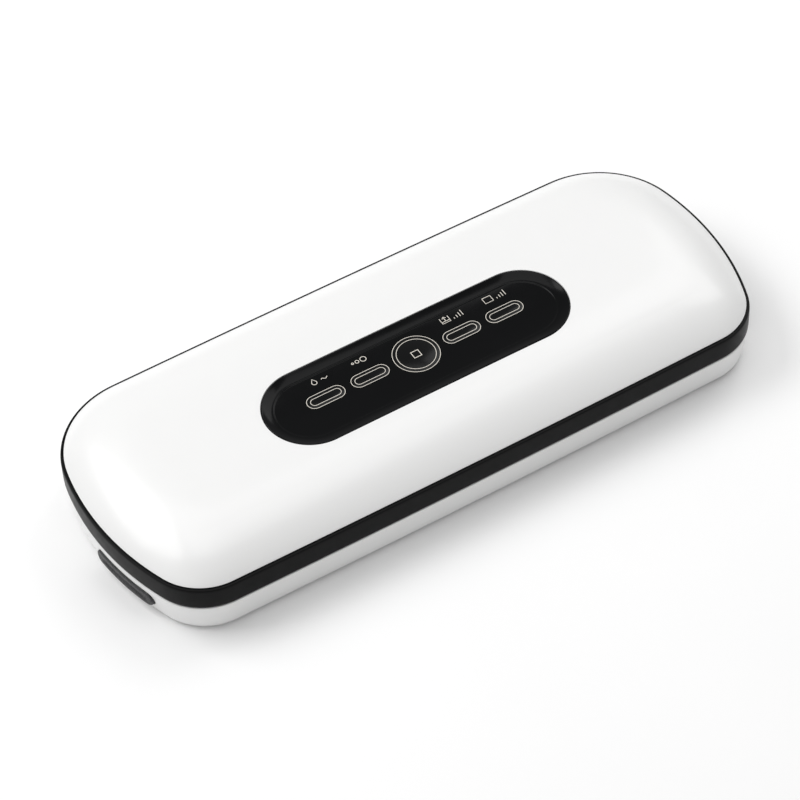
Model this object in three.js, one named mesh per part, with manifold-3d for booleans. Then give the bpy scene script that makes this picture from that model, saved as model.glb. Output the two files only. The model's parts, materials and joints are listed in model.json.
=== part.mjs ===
// Domestic vacuum sealer: a slim base with latches, a hinged lid with the pump and the control
// panel. Millimetres, +Z up, +X to the right along the length, -Y to the front where bags go in.
import * as THREE from 'three';
import { mergeVertices } from 'three/addons/utils/BufferGeometryUtils.js';
import Module from 'manifold-3d';

const wasm = await Module();
wasm.setup();

// ---------------------------------------------------------------- driving dimensions
const LENGTH = 371;            // over the trim band
const WIDTH = 149;             // over the trim band
const FRONT_RADIUS = 32.5;     // plan radius of the two front corners
const BACK_RADIUS = 49.6;      // plan radius of the two back corners
const SIDE_BOW = 1.0;          // how far each long side bows out
const END_BOW = 7.1;           // how far each short end bows out
const END_SHIFT = 4;           // middle of each end's bow behind the middle of the body
const GAP = 0.3;               // clearance between pieces that touch
const SHELL = 2.4;             // wall of the base and the lid cover
const PLATE = 2.2;             // thickness of the deck

const FOOT_HEIGHT = 1.2;       // underside of the base above the table
const FOOT_RADIUS = 7;
const FOOT_STEM = 2;
const BASE_TOP = 18.7;         // upper edge of the base wall
const FLOOR = 2.2;             // thickness of the base floor
const SPLIT = 0.6;             // joint line between base and lid

const BAND_HEIGHT = 13.4;      // black trim band round the lid
const BAND_WALL = 2.2;
const BAND_LEDGE = 0.9;        // how far the band stands out past the dome
const LINER = 2.6;             // thickness of the plate under the lid
const EDGE_RISE = 15.2;        // height that the dome gains across its rounded edge
const EDGE_RUN = 38;           // width of that rounded edge
const CROWN_RISE = 2.0;        // further rise to the middle of the lid

const PANEL_Y = -8.3;          // centre of the control panel
const PANEL_STRAIGHT = 62.6;   // half length of its straight sides
const PANEL_RADIUS = 25.2;
const PANEL_BEVEL = 5.2;       // run of the sloping rim
const PANEL_DEPTH = 2.4;       // floor below the dome
const PANEL_WALL = 2.0;
const KEY_ROW_X = 0.9;         // middle of the row of keys
const KEY_ROW_Y = -5.6;
const KEY_PITCHES = [-53.4, -27.4, 27.4, 53.4];
const KEY_STRAIGHT = 6.4;      // half length of a capsule key's straight sides
const KEY_RADIUS = 4.6;
const KEY_FLANGE = 1.1;        // lip under the panel that holds a key in
const STOP_RADIUS = 12.7;
const BOARD_THICK = 1.6;       // both circuit boards
const SWITCH_HEIGHT = 7.5;     // from the control board up to the underside of the panel

const HINGE_RADIUS = 3.4;
const HINGE_BEHIND = 0.8;      // hinge axis behind the band's rear face
const LUG_WIDTH = 6;           // each of the base's two lugs
const LID_LUG_WIDTH = 12;
const PIN_RADIUS = 1.2;

const CHAMBER_RADIUS = 13.6;   // round ends of the vacuum chamber
const CHAMBER_WALL = 1.6;
const CHAMBER_LID_DEPTH = 6.2; // hollow in the lid over the chamber
const GASKET_STANDOFF = 4.4;   // from the chamber's edge to the gasket
const GASKET_WIDTH = 6;
const HEATER_WIDTH = 7.4;
const HEATER_DEPTH = 5;        // underside of the heater bar below the deck
const TAPE_WIDTH = 12;

const BUTTON_Y = -24;          // release button on each end wall
const BUTTON_Z = 10.0;
const BUTTON_LENGTH = 43;
const BUTTON_HEIGHT = 8.4;
const BUTTON_PROUD = 1.3;
const BUTTON_DEPTH = 11.8;     // inner end of the button from the end of the body
const BUTTON_TRAVEL = 3;
const HOOK_THICK = 2;
const HOOK_WIDTH = 14;
const HOOK_DROP = 3;           // height of a hook's barb
const BARB = 2.5;              // reach of a hook's barb
const BARB_HOLD = 1.0;         // overlap of barb and catch
const CATCH_THICK = 1.8;
const CATCH_LEDGE = 4;         // width of the catch's working edge
const SPRING_RADIUS = 1.7;
const SPRING_WIRE = 0.3;

const INLET_WIDTH = 20;        // mains inlet in the rear wall
const INLET_HEIGHT = 9.8;
const INLET_DEPTH = 16;
const INLET_LOBE = 3.6;
const INLET_PIN = 1.1;
const INLET_PIN_X = 4.3;       // each pin from the middle of the inlet
const SCREW_RADIUS = 1.4;
const SCREW_HEAD = 2.8;
const SCREW_LENGTH = 9;

const MOTOR_RADIUS = 10;
const MOTOR_LENGTH = 34;
const HOSE_RADIUS = 2.8;
const HOSE_BORE = 2.0;

// ---------------------------------------------------------------- derived places
const HALF_LENGTH = LENGTH / 2;
const HALF_WIDTH = WIDTH / 2;
const FLOOR_TOP = FOOT_HEIGHT + FLOOR;
const DECK_TOP = BASE_TOP - GAP;
const DECK_BOTTOM = DECK_TOP - PLATE;
const BAND_BOTTOM = BASE_TOP + SPLIT;
const BAND_TOP = BAND_BOTTOM + BAND_HEIGHT;
const LINER_TOP = BAND_BOTTOM + LINER;
const DOME_BASE = BAND_TOP + GAP;
const AXIS_Y = HALF_WIDTH + HINGE_BEHIND;
const AXIS_Z = BASE_TOP + SPLIT / 2;
const CROWN = DOME_BASE + EDGE_RISE + CROWN_RISE;
const PANEL_RIM = DOME_BASE + EDGE_RISE + 0.8 * CROWN_RISE;
const PANEL_FLOOR = PANEL_RIM - PANEL_DEPTH;
const PANEL_UNDER = PANEL_FLOOR - PANEL_WALL;
const BOARD_TOP = PANEL_UNDER - SWITCH_HEIGHT;
const BOARD_POSTS = [-70, -13, 13, 70];

const HINGE_X = HALF_LENGTH - 75;         // middle of each hinge
const HOOK_X = HALF_LENGTH - 20;          // middle of each hook's shaft
const CATCH_Z = BUTTON_Z + 1.2;           // underside of the catch
const CATCH_EDGE = HOOK_X - HOOK_THICK / 2 - BARB + BARB_HOLD + 0.5;
const SPRING_RIB_X = HOOK_X - 15.3;
const HEATER_HALF = HALF_LENGTH - 35;
const HEATER_Y = 16.5 - HALF_WIDTH;       // sealing line, near the front edge
const CHAMBER_Y = HEATER_Y + 35;          // middle of the vacuum chamber
const CHAMBER_OUTER = CHAMBER_RADIUS + CHAMBER_WALL;
const GASKET_INNER = CHAMBER_RADIUS + GASKET_STANDOFF;
const GASKET_OUTER = GASKET_INNER + GASKET_WIDTH;
const CHAMBER_STRAIGHT = HOOK_X - 8 - GASKET_OUTER;
const INLET_X = HINGE_X - 50;
const INLET_Z = BUTTON_Z;
const LID_SWITCH_X = HALF_LENGTH - 25;    // switch that feels the closed lid, right of the chamber
const LID_SWITCH_Y = CHAMBER_Y + 35;
const BASE_INNER = 0.8 + SHELL;
const DECK_INSET = BASE_INNER + GAP;
const BOARD_X = -30;                      // power board in the rear half of the base
const BOARD_Y = (CHAMBER_Y + CHAMBER_OUTER + HALF_WIDTH - BASE_INNER) / 2;
const POWER_BOARD_Z = FLOOR_TOP + 1.9;
const PARTS_Z = POWER_BOARD_Z + BOARD_THICK + GAP;
const FOOT_X = HALF_LENGTH - 35;
const FOOT_Y = HALF_WIDTH - 29.5;
const PUMP_X = HALF_LENGTH - 87;          // left end of the motor
const PUMP_Y = CHAMBER_Y + 47;
const PUMP_Z = LINER_TOP + 12.1;
const PORT_X = HALF_LENGTH - 57;          // suction port over the vacuum chamber
const PORT_Y = CHAMBER_Y + 7;
const VALVE_X = 65 - HALF_LENGTH;

const FOOT_PLACES = [[-FOOT_X, -FOOT_Y], [FOOT_X, -FOOT_Y], [-FOOT_X, FOOT_Y], [FOOT_X, FOOT_Y]];
const BASE_SCREWS = [[65 - HALF_LENGTH, 9 - HALF_WIDTH], [HALF_LENGTH - 65, 9 - HALF_WIDTH],
  [35 - HALF_LENGTH, FOOT_Y - 17], [HALF_LENGTH - 35, FOOT_Y - 17]];
const LID_SCREWS = [[21 - HALF_LENGTH, -40], [HALF_LENGTH - 21, -40],
  [45 - HALF_LENGTH, HALF_WIDTH - 22.5], [HALF_LENGTH - 45, HALF_WIDTH - 22.5]];

// ---------------------------------------------------------------- solids
// A closed geometry becomes a solid that can be joined and cut.
function solid(geometry) {
  const bare = geometry.clone();
  bare.deleteAttribute('normal');
  bare.deleteAttribute('uv');
  const merged = mergeVertices(bare, 1e-4);
  return new wasm.Manifold(new wasm.Mesh({
    numProp: 3,
    vertProperties: new Float32Array(merged.attributes.position.array),
    triVerts: new Uint32Array(merged.index.array),
  }));
}

function geometryOf(body) {
  const mesh = body.getMesh();
  const geometry = new THREE.BufferGeometry();
  geometry.setAttribute('position', new THREE.BufferAttribute(mesh.vertProperties, 3));
  geometry.setIndex(new THREE.BufferAttribute(mesh.triVerts, 1));
  geometry.computeVertexNormals();
  return geometry;
}

function union(first, ...others) {
  return others.reduce((body, other) => body.add(other), first);
}

function cut(first, ...others) {
  return others.reduce((body, other) => body.subtract(other), first);
}

function box(x0, x1, y0, y1, z0, z1) {
  const geometry = new THREE.BoxGeometry(x1 - x0, y1 - y0, z1 - z0);
  geometry.translate((x0 + x1) / 2, (y0 + y1) / 2, (z0 + z1) / 2);
  return solid(geometry);
}

// A box centred in plan on (x, y), between two heights.
function block(x, y, sizeX, sizeY, z0, z1) {
  return box(x - sizeX / 2, x + sizeX / 2, y - sizeY / 2, y + sizeY / 2, z0, z1);
}

// A turned piece on a vertical axis; the profile lists [radius, height] from axis to axis.
function turned(x, y, profile, segments = 20) {
  const points = profile.map(([radius, height]) => new THREE.Vector2(radius, height));
  const geometry = new THREE.LatheGeometry(points, segments);
  geometry.rotateX(Math.PI / 2);
  geometry.translate(x, y, 0);
  return solid(geometry);
}

function post(x, y, radius, z0, z1, segments = 20) {
  return turned(x, y, [[0, z0], [radius, z0], [radius, z1], [0, z1]], segments);
}

// A turned piece on an axis along X.
function turnedX(y, z, profile, segments = 20) {
  const points = profile.map(([radius, x]) => new THREE.Vector2(radius, x));
  const geometry = new THREE.LatheGeometry(points, segments);
  geometry.rotateZ(-Math.PI / 2);
  geometry.translate(0, y, z);
  return solid(geometry);
}

function rodX(x0, x1, y, z, radius, segments = 20) {
  return turnedX(y, z, [[0, x0], [radius, x0], [radius, x1], [0, x1]], segments);
}

function rodY(x, z, radius, y0, y1, segments = 16) {
  const geometry = new THREE.CylinderGeometry(radius, radius, y1 - y0, segments);
  geometry.translate(x, (y0 + y1) / 2, z);
  return solid(geometry);
}

// Rings of points with one count each, joined into a closed body from the first to the last.
function loft(rings) {
  const count = rings[0].length;
  const points = rings.flat();
  const index = [];
  for (let level = 0; level + 1 < rings.length; level += 1) {
    for (let i = 0; i < count; i += 1) {
      const a = level * count + i;
      const b = level * count + (i + 1) % count;
      index.push(a, b, b + count, a, b + count, a + count);
    }
  }
  const bottom = points.length;
  const top = bottom + 1;
  const last = (rings.length - 1) * count;
  points.push(middle(rings[0]), middle(rings[rings.length - 1]));
  for (let i = 0; i < count; i += 1) {
    const next = (i + 1) % count;
    index.push(bottom, next, i, top, last + i, last + next);
  }
  const geometry = new THREE.BufferGeometry();
  geometry.setAttribute('position', new THREE.Float32BufferAttribute(points.flatMap((p) => p.toArray()), 3));
  geometry.setIndex(index);
  return solid(geometry);
}

function middle(ring) {
  const sum = ring.reduce((total, point) => total.add(point), new THREE.Vector3());
  return sum.divideScalar(ring.length);
}

// A flat outline with round ends, straight along X.
function stadiumRing(x, y, straight, radius, z, segments = 10) {
  const ring = [];
  for (const side of [1, -1]) {
    for (let i = 0; i <= segments; i += 1) {
      const angle = (i / segments - 0.5) * Math.PI + (side > 0 ? 0 : Math.PI);
      ring.push(new THREE.Vector3(
        x + side * straight + radius * Math.cos(angle), y + radius * Math.sin(angle), z));
    }
  }
  return ring;
}

function stadium(x, y, straight, radius, z0, z1, segments = 10) {
  return loft([z0, z1].map((z) => stadiumRing(x, y, straight, radius, z, segments)));
}

// A capsule that lies along Y and is extruded along X.
function capsuleX(x0, x1, y, z, length, height, segments = 8) {
  const body = stadium(0, 0, (length - height) / 2, height / 2, x0, x1, segments);
  return body.rotate([0, 90, 0]).rotate([90, 0, 0]).translate([0, y, z]);
}

// ---------------------------------------------------------------- plan outline
// Four bowed sides and four corners, all arcs that meet smoothly. These are the right half's.
function planArcs() {
  const squareEnd = 28;
  const bowRadius = (half, bow) => (half * half + bow * bow) / (2 * bow);
  const sideRadius = bowRadius(HALF_LENGTH - squareEnd, SIDE_BOW);
  const endRadius = bowRadius(HALF_WIDTH - squareEnd, END_BOW);
  const sideY = HALF_WIDTH - sideRadius;
  const end = new THREE.Vector2(HALF_LENGTH - endRadius, END_SHIFT);
  const corner = (side, radius) => {
    const start = new THREE.Vector2(0, side * sideY);
    const apart = end.distanceTo(start);
    const way = end.clone().sub(start).divideScalar(apart);
    const toSide = sideRadius - radius;
    const toEnd = endRadius - radius;
    const along = (apart * apart + toSide * toSide - toEnd * toEnd) / (2 * apart);
    const across = side * Math.sqrt(toSide * toSide - along * along);
    return new THREE.Vector2(start.x + way.x * along + way.y * across,
      start.y + way.y * along - way.x * across);
  };
  return { sideRadius, endRadius, sideY, end, front: corner(-1, FRONT_RADIUS), back: corner(1, BACK_RADIUS) };
}

const PLAN = planArcs();

// The outline moved inwards by inset, at height z.
function planRing(inset, z, scale = 1) {
  const { sideRadius, endRadius, sideY, end, front, back } = PLAN;
  const half = [];
  const arc = (cx, cy, radius, from, to, steps) => {
    for (let i = 0; i < steps; i += 1) {
      const angle = from + (to - from) * i / steps;
      half.push([cx + (radius - inset) * Math.cos(angle), cy + (radius - inset) * Math.sin(angle)]);
    }
  };
  const frontSide = Math.atan2(front.y + sideY, front.x);
  const frontEnd = Math.atan2(front.y - end.y, front.x - end.x);
  const backEnd = Math.atan2(back.y - end.y, back.x - end.x);
  const backSide = Math.atan2(back.y - sideY, back.x);
  arc(0, -sideY, sideRadius, -Math.PI / 2, frontSide, 2);
  arc(front.x, front.y, FRONT_RADIUS, frontSide, frontEnd, 7);
  arc(end.x, end.y, endRadius, frontEnd, backEnd, 5);
  arc(back.x, back.y, BACK_RADIUS, backEnd, backSide, 8);
  arc(0, sideY, sideRadius, backSide, Math.PI / 2, 2);
  const full = [...half, [0, HALF_WIDTH - inset], ...half.slice(1).reverse().map(([x, y]) => [-x, y])];
  return full.map(([x, y]) => new THREE.Vector3(x * scale, y * scale, z));
}

function planBody(profile) {
  return loft(profile.map(([inset, z]) => planRing(inset, z)));
}

// ---------------------------------------------------------------- base
// Inset of the base's outer face at each height: round at the foot, nearly upright above.
const BASE_PROFILE = [[3.2, FOOT_HEIGHT], [2.2, FOOT_HEIGHT + 0.3], [1.5, FOOT_HEIGHT + 1.2],
  [1.2, FOOT_HEIGHT + 4.5], [0.7, 0.64 * BASE_TOP], [0.4, BASE_TOP - 0.7], [0.8, BASE_TOP]];

function baseVolume(grow) {
  return planBody(BASE_PROFILE.map(([inset, z]) => [inset - grow, z]));
}

function mirrored(body, side) {
  return side > 0 ? body : body.mirror([1, 0, 0]);
}

function baseRibs() {
  const ribs = [];
  for (const side of [-1, 1]) {
    const rail = (y) => block(HOOK_X * side, y, 12, 1.6, FLOOR_TOP - 0.2, CATCH_Z - GAP);
    ribs.push(rail(BUTTON_Y - 10), rail(BUTTON_Y + 10));
    ribs.push(block(SPRING_RIB_X * side, BUTTON_Y, 1.4, 12, FLOOR_TOP - 0.2, DECK_BOTTOM - GAP));
  }
  for (const x of [-100, 0, 100]) {
    ribs.push(block(x, HEATER_Y, 5, 6, FLOOR_TOP - 0.2, DECK_TOP - HEATER_DEPTH - GAP));
  }
  for (const [dx, dy] of [[-52, -18], [52, -18], [-52, 18], [52, 18]]) {
    ribs.push(post(BOARD_X + dx, BOARD_Y + dy, 2.4, FLOOR_TOP - 0.2, POWER_BOARD_Z - GAP, 12));
  }
  return ribs;
}

function hingeLugs() {
  const lugs = [];
  for (const side of [-1, 1]) {
    for (const end of [-1, 1]) {
      const x = HINGE_X * side + end * (LID_LUG_WIDTH / 2 + GAP + LUG_WIDTH / 2);
      lugs.push(rodX(x - LUG_WIDTH / 2, x + LUG_WIDTH / 2, AXIS_Y, AXIS_Z, HINGE_RADIUS));
      lugs.push(box(x - LUG_WIDTH / 2, x + LUG_WIDTH / 2, HALF_WIDTH - 2.6, AXIS_Y + 2.2,
        AXIS_Z - 6.6, AXIS_Z - 1));
    }
  }
  return lugs;
}

function hingeBores() {
  const reach = LID_LUG_WIDTH / 2 + LUG_WIDTH + 2;
  return [-1, 1].map((side) => rodX(
    HINGE_X * side - reach, HINGE_X * side + reach, AXIS_Y, AXIS_Z, PIN_RADIUS + GAP, 12));
}

function hingeRelief(forBase) {
  const half = LID_LUG_WIDTH / 2;
  const radius = HINGE_RADIUS + 0.5;
  return [-1, 1].flatMap((side) => {
    const x = HINGE_X * side;
    if (forBase) {
      return [rodX(x - half - GAP, x + half + GAP, AXIS_Y, AXIS_Z, radius)];
    }
    const far = half + GAP + LUG_WIDTH + GAP;
    return [rodX(x - far, x - half, AXIS_Y, AXIS_Z, radius), rodX(x + half, x + far, AXIS_Y, AXIS_Z, radius)];
  });
}

function inletHole(grow, y0, y1) {
  const half = INLET_WIDTH / 2 + grow;
  const rise = INLET_HEIGHT / 2 + grow;
  return box(INLET_X - half, INLET_X + half, y0, y1, INLET_Z - rise, INLET_Z + rise);
}

function baseHousing() {
  const hollow = planBody([[BASE_INNER + 2, FLOOR_TOP], [BASE_INNER, FLOOR_TOP + 2],
    [BASE_INNER, BASE_TOP + 1]]);
  let body = cut(baseVolume(0), hollow);
  body = union(body, ...hingeLugs(), ...baseRibs());
  body = cut(body, ...hingeRelief(true), ...hingeBores());
  for (const side of [-1, 1]) {
    const hole = capsuleX(HALF_LENGTH - 20, HALF_LENGTH + 5, BUTTON_Y, BUTTON_Z,
      BUTTON_LENGTH + 2 * GAP, BUTTON_HEIGHT + 2 * GAP);
    body = cut(body, mirrored(hole, side));
  }
  body = cut(body, inletHole(GAP, HALF_WIDTH - 8, HALF_WIDTH + 5));
  for (const [x, y] of FOOT_PLACES) {
    body = cut(body, post(x, y, FOOT_RADIUS + GAP, 0, FOOT_HEIGHT + 0.7),
      post(x, y, FOOT_STEM + GAP, 0, FLOOR_TOP + 2, 12));
  }
  for (const [x, y] of BASE_SCREWS) {
    body = cut(body, post(x, y, SCREW_HEAD + GAP, 0, FOOT_HEIGHT + 1.2, 16),
      post(x, y, SCREW_RADIUS + GAP, 0, FLOOR_TOP + 2, 12));
  }
  return body;
}

function foot([x, y]) {
  const seat = FOOT_HEIGHT + 0.4;
  return turned(x, y, [[0, 0], [FOOT_RADIUS - 1, 0], [FOOT_RADIUS, 0.6], [FOOT_RADIUS, seat],
    [FOOT_STEM, seat],
    [FOOT_STEM, FLOOR_TOP + 1], [0, FLOOR_TOP + 1]], 24);
}

function screw([x, y], z) {
  const tip = z + SCREW_LENGTH;
  return turned(x, y, [[0, z], [SCREW_HEAD, z], [SCREW_HEAD, z + 0.7], [SCREW_RADIUS, z + 0.9],
    [SCREW_RADIUS, tip - 1], [0.4, tip], [0, tip]], 14);
}

function hookWindow() {
  return box(HOOK_X - 4.6, HOOK_X + 5.2, BUTTON_Y - 10, BUTTON_Y + 9, DECK_BOTTOM - 1, DECK_TOP + 1);
}

function deck() {
  let body = planBody([[DECK_INSET, DECK_BOTTOM], [DECK_INSET, DECK_TOP]]);
  body = union(body, stadium(0, CHAMBER_Y, CHAMBER_STRAIGHT, CHAMBER_OUTER, FLOOR_TOP + GAP, DECK_TOP - 0.5));
  for (const [x, y] of BASE_SCREWS) {
    body = union(body, post(x, y, 3, FLOOR_TOP + GAP, DECK_BOTTOM + 0.5, 16));
  }
  body = cut(body, stadium(0, CHAMBER_Y, CHAMBER_STRAIGHT, CHAMBER_RADIUS, FLOOR_TOP + GAP + CHAMBER_WALL,
    DECK_TOP + 1));
  body = cut(body, gasketRing(GASKET_INNER - GAP, GASKET_OUTER + GAP, DECK_TOP - 1.4, DECK_TOP + 1));
  body = cut(body, block(0, HEATER_Y, 2 * (HEATER_HALF + GAP), HEATER_WIDTH + 2 * GAP,
    DECK_BOTTOM - 1, DECK_TOP + 1));
  for (const side of [-1, 1]) {
    body = cut(body, mirrored(hookWindow(), side));
  }
  body = cut(body, post(LID_SWITCH_X, LID_SWITCH_Y, 1.6, DECK_BOTTOM - 1, DECK_TOP + 1, 12));
  for (const [x, y] of BASE_SCREWS) {
    body = cut(body, post(x, y, SCREW_RADIUS + GAP, 0, DECK_BOTTOM - 1.3, 12));
  }
  return body;
}

function gasketRing(inner, outer, z0, z1) {
  return cut(stadium(0, CHAMBER_Y, CHAMBER_STRAIGHT, outer, z0, z1, 12),
    stadium(0, CHAMBER_Y, CHAMBER_STRAIGHT, inner, z0 - 1, z1 + 1, 12));
}

function baseGasket() {
  return gasketRing(GASKET_INNER, GASKET_OUTER, DECK_TOP - 1.1, BASE_TOP + SPLIT / 2 - GAP / 2);
}

function dripTray() {
  const bottom = FLOOR_TOP + GAP + CHAMBER_WALL + GAP;
  const outer = CHAMBER_RADIUS - GAP;
  return cut(stadium(0, CHAMBER_Y, CHAMBER_STRAIGHT, outer, bottom, DECK_TOP - 0.6),
    stadium(0, CHAMBER_Y, CHAMBER_STRAIGHT, outer - 1.2, bottom + 1.2, DECK_TOP + 1));
}

function heaterBar() {
  return block(0, HEATER_Y, 2 * HEATER_HALF, HEATER_WIDTH, DECK_TOP - HEATER_DEPTH, DECK_TOP - 0.4);
}

function heatingWire() {
  return block(0, HEATER_Y, 2 * HEATER_HALF - 6, 2.6, DECK_TOP - 0.1, DECK_TOP + 0.1);
}

function heaterTape() {
  return block(0, HEATER_Y, 2 * HEATER_HALF + 2, TAPE_WIDTH, DECK_TOP + 0.4, DECK_TOP + 0.55);
}

function lidSwitch() {
  return union(block(LID_SWITCH_X, LID_SWITCH_Y, 12.8, 6, DECK_BOTTOM - 6.8, DECK_BOTTOM - GAP),
    post(LID_SWITCH_X, LID_SWITCH_Y, 1.2, DECK_BOTTOM - 1.8, DECK_TOP + 0.3, 12));
}

function powerBoard() {
  return block(BOARD_X, BOARD_Y, 116, 46, POWER_BOARD_Z, POWER_BOARD_Z + BOARD_THICK);
}

function transformer() {
  return cut(block(BOARD_X + 10, BOARD_Y, 26, 24, PARTS_Z, PARTS_Z + 6.2),
    block(BOARD_X + 10, BOARD_Y + 9, 18, 4, PARTS_Z - 1, PARTS_Z + 8),
    block(BOARD_X + 10, BOARD_Y - 9, 18, 4, PARTS_Z - 1, PARTS_Z + 8));
}

function capacitor(x) {
  return turnedX(BOARD_Y - 4, PARTS_Z + 3.2, [[0, x], [2.6, x], [3.1, x + 0.5], [3.1, x + 2.2], [2.8, x + 2.7],
    [3.1, x + 3.2], [3.1, x + 17.5], [2.6, x + 18], [0, x + 18]], 16);
}

function heatSink() {
  let body = block(BOARD_X - 40, BOARD_Y, 16, 34, PARTS_Z, PARTS_Z + 1.4);
  for (const dx of [-6, -2, 2, 6]) {
    body = union(body, block(BOARD_X - 40 + dx, BOARD_Y, 1.2, 34, PARTS_Z + 1, PARTS_Z + 6));
  }
  return body;
}

function mainsInlet() {
  const face = HALF_WIDTH + 0.2;
  const floor = face - INLET_DEPTH + 4;
  const lobe = (dx) => rodY(INLET_X + dx, INLET_Z, INLET_LOBE, floor, face + 2, 18);
  let body = inletHole(0, face - INLET_DEPTH, face);
  body = cut(body, lobe(-3.9), lobe(3.9), box(INLET_X - 3.9, INLET_X + 3.9, floor, face + 2,
    INLET_Z - 3.1, INLET_Z + 3.1));
  for (const dx of [-INLET_PIN_X, INLET_PIN_X]) {
    body = cut(body, rodY(INLET_X + dx, INLET_Z, INLET_PIN + GAP, floor - 5, floor + 1, 12));
  }
  return body;
}

function inletPin(dx) {
  const face = HALF_WIDTH + 0.2;
  return rodY(INLET_X + dx, INLET_Z, INLET_PIN, face - INLET_DEPTH - 2, face - 3, 12);
}

// ---------------------------------------------------------------- release latches (right side)
function releaseButton() {
  const inner = HALF_LENGTH - BUTTON_DEPTH;
  const prism = capsuleX(inner, HALF_LENGTH + 5, BUTTON_Y, BUTTON_Z, BUTTON_LENGTH, BUTTON_HEIGHT);
  return prism.intersect(baseVolume(BUTTON_PROUD));
}

function catchSlider() {
  const outer = HALF_LENGTH - BUTTON_DEPTH - GAP;
  const windowOut = HOOK_X + HOOK_THICK / 2 + BUTTON_TRAVEL + 0.6;
  const plate = box(CATCH_EDGE - CATCH_LEDGE, outer, BUTTON_Y - 12, BUTTON_Y + 12,
    CATCH_Z, CATCH_Z + CATCH_THICK);
  const window = box(CATCH_EDGE, windowOut, BUTTON_Y - 9, BUTTON_Y + 9, CATCH_Z - 1, CATCH_Z + 4);
  return cut(plate, window);
}

function releaseSpring() {
  const end = CATCH_EDGE - CATCH_LEDGE - GAP;
  const start = SPRING_RIB_X + 0.7 + GAP;
  return coil(start, end, BUTTON_Y, CATCH_Z + CATCH_THICK / 2, SPRING_RADIUS, SPRING_WIRE, 5);
}

class Helix extends THREE.Curve {
  constructor(x0, x1, y, z, radius, turns) {
    super();
    Object.assign(this, { x0, x1, y, z, radius, turns });
  }

  getPoint(t, target = new THREE.Vector3()) {
    const angle = t * this.turns * 2 * Math.PI;
    return target.set(this.x0 + (this.x1 - this.x0) * t,
      this.y + this.radius * Math.cos(angle), this.z + this.radius * Math.sin(angle));
  }
}

function coil(x0, x1, y, z, radius, wire, turns) {
  const section = new THREE.Shape();
  section.absarc(0, 0, wire, 0, 2 * Math.PI, false);
  const path = new Helix(x0 + wire, x1 - wire, y, z, radius, turns);
  return solid(new THREE.ExtrudeGeometry(section, {
    steps: turns * 8, curveSegments: 3, bevelEnabled: false, extrudePath: path }));
}

// ---------------------------------------------------------------- lid
function domeHeight(run, x, y) {
  const share = 1 - Math.min(run / EDGE_RUN, 1);
  const edge = (1 - share ** 2.3) ** 0.8;
  const crown = (1 - (x / HALF_LENGTH) ** 2) * (1 - (y / HALF_WIDTH) ** 2);
  return edge * (EDGE_RISE + CROWN_RISE * crown);
}

const DOME_RUNS = [0, 0.8, 2.2, 4.5, 8.5, 14, 20, 26];

// The dome's surface, moved in and down by wall, above the rings of its skirt.
function domeVolume(wall, skirt) {
  const rings = skirt.map(([inset, z]) => planRing(inset, z));
  const addRing = (run, scale) => {
    const ring = planRing(BAND_LEDGE + wall + Math.min(run, 26), 0, scale);
    for (const point of ring) {
      const lift = run > 0 ? 0 : wall / 2;
      point.z = DOME_BASE - wall + lift + domeHeight(run, point.x, point.y);
    }
    rings.push(ring);
  };
  DOME_RUNS.forEach((run) => addRing(run, 1));
  addRing(EDGE_RUN, 0.6);
  addRing(EDGE_RUN, 0.15);
  return loft(rings);
}

const SKIRT_INSET = BAND_WALL + GAP;

function coverOuter() {
  return domeVolume(0, [[SKIRT_INSET, LINER_TOP + 1], [SKIRT_INSET, DOME_BASE]]);
}

function lidCover() {
  const hollow = domeVolume(SHELL, [[SKIRT_INSET + SHELL, LINER_TOP - 5],
    [SKIRT_INSET + SHELL, DOME_BASE - 3]]);
  const outer = coverOuter();
  let body = cut(outer, hollow);
  for (const [x, y] of LID_SCREWS) {
    body = union(body, post(x, y, 3.2, LINER_TOP + GAP, CROWN + 2, 16).intersect(
      union(outer, post(x, y, 4, LINER_TOP, BAND_TOP, 16))));
    body = cut(body, post(x, y, SCREW_RADIUS + GAP, 0, LINER_TOP + 10, 12));
  }
  return cut(body, stadium(0, PANEL_Y, PANEL_STRAIGHT, PANEL_RADIUS + GAP, PANEL_UNDER - 10, CROWN + 5, 16));
}

// Inset of the trim band's outer face at each height.
const BAND_PROFILE = [[0.9, BAND_BOTTOM], [0.25, BAND_BOTTOM + 0.6], [0, BAND_BOTTOM + 2.6],
  [0, BAND_TOP - 2.4],
  [0.35, BAND_TOP - 0.7], [1.1, BAND_TOP]];

function trimBand() {
  const inside = planBody([[BAND_WALL, BAND_BOTTOM - 1], [BAND_WALL, BAND_TOP + 1]]);
  const body = union(cut(planBody(BAND_PROFILE), inside), ...lidLugs());
  return cut(body, ...hingeRelief(false), ...hingeBores());
}

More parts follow.
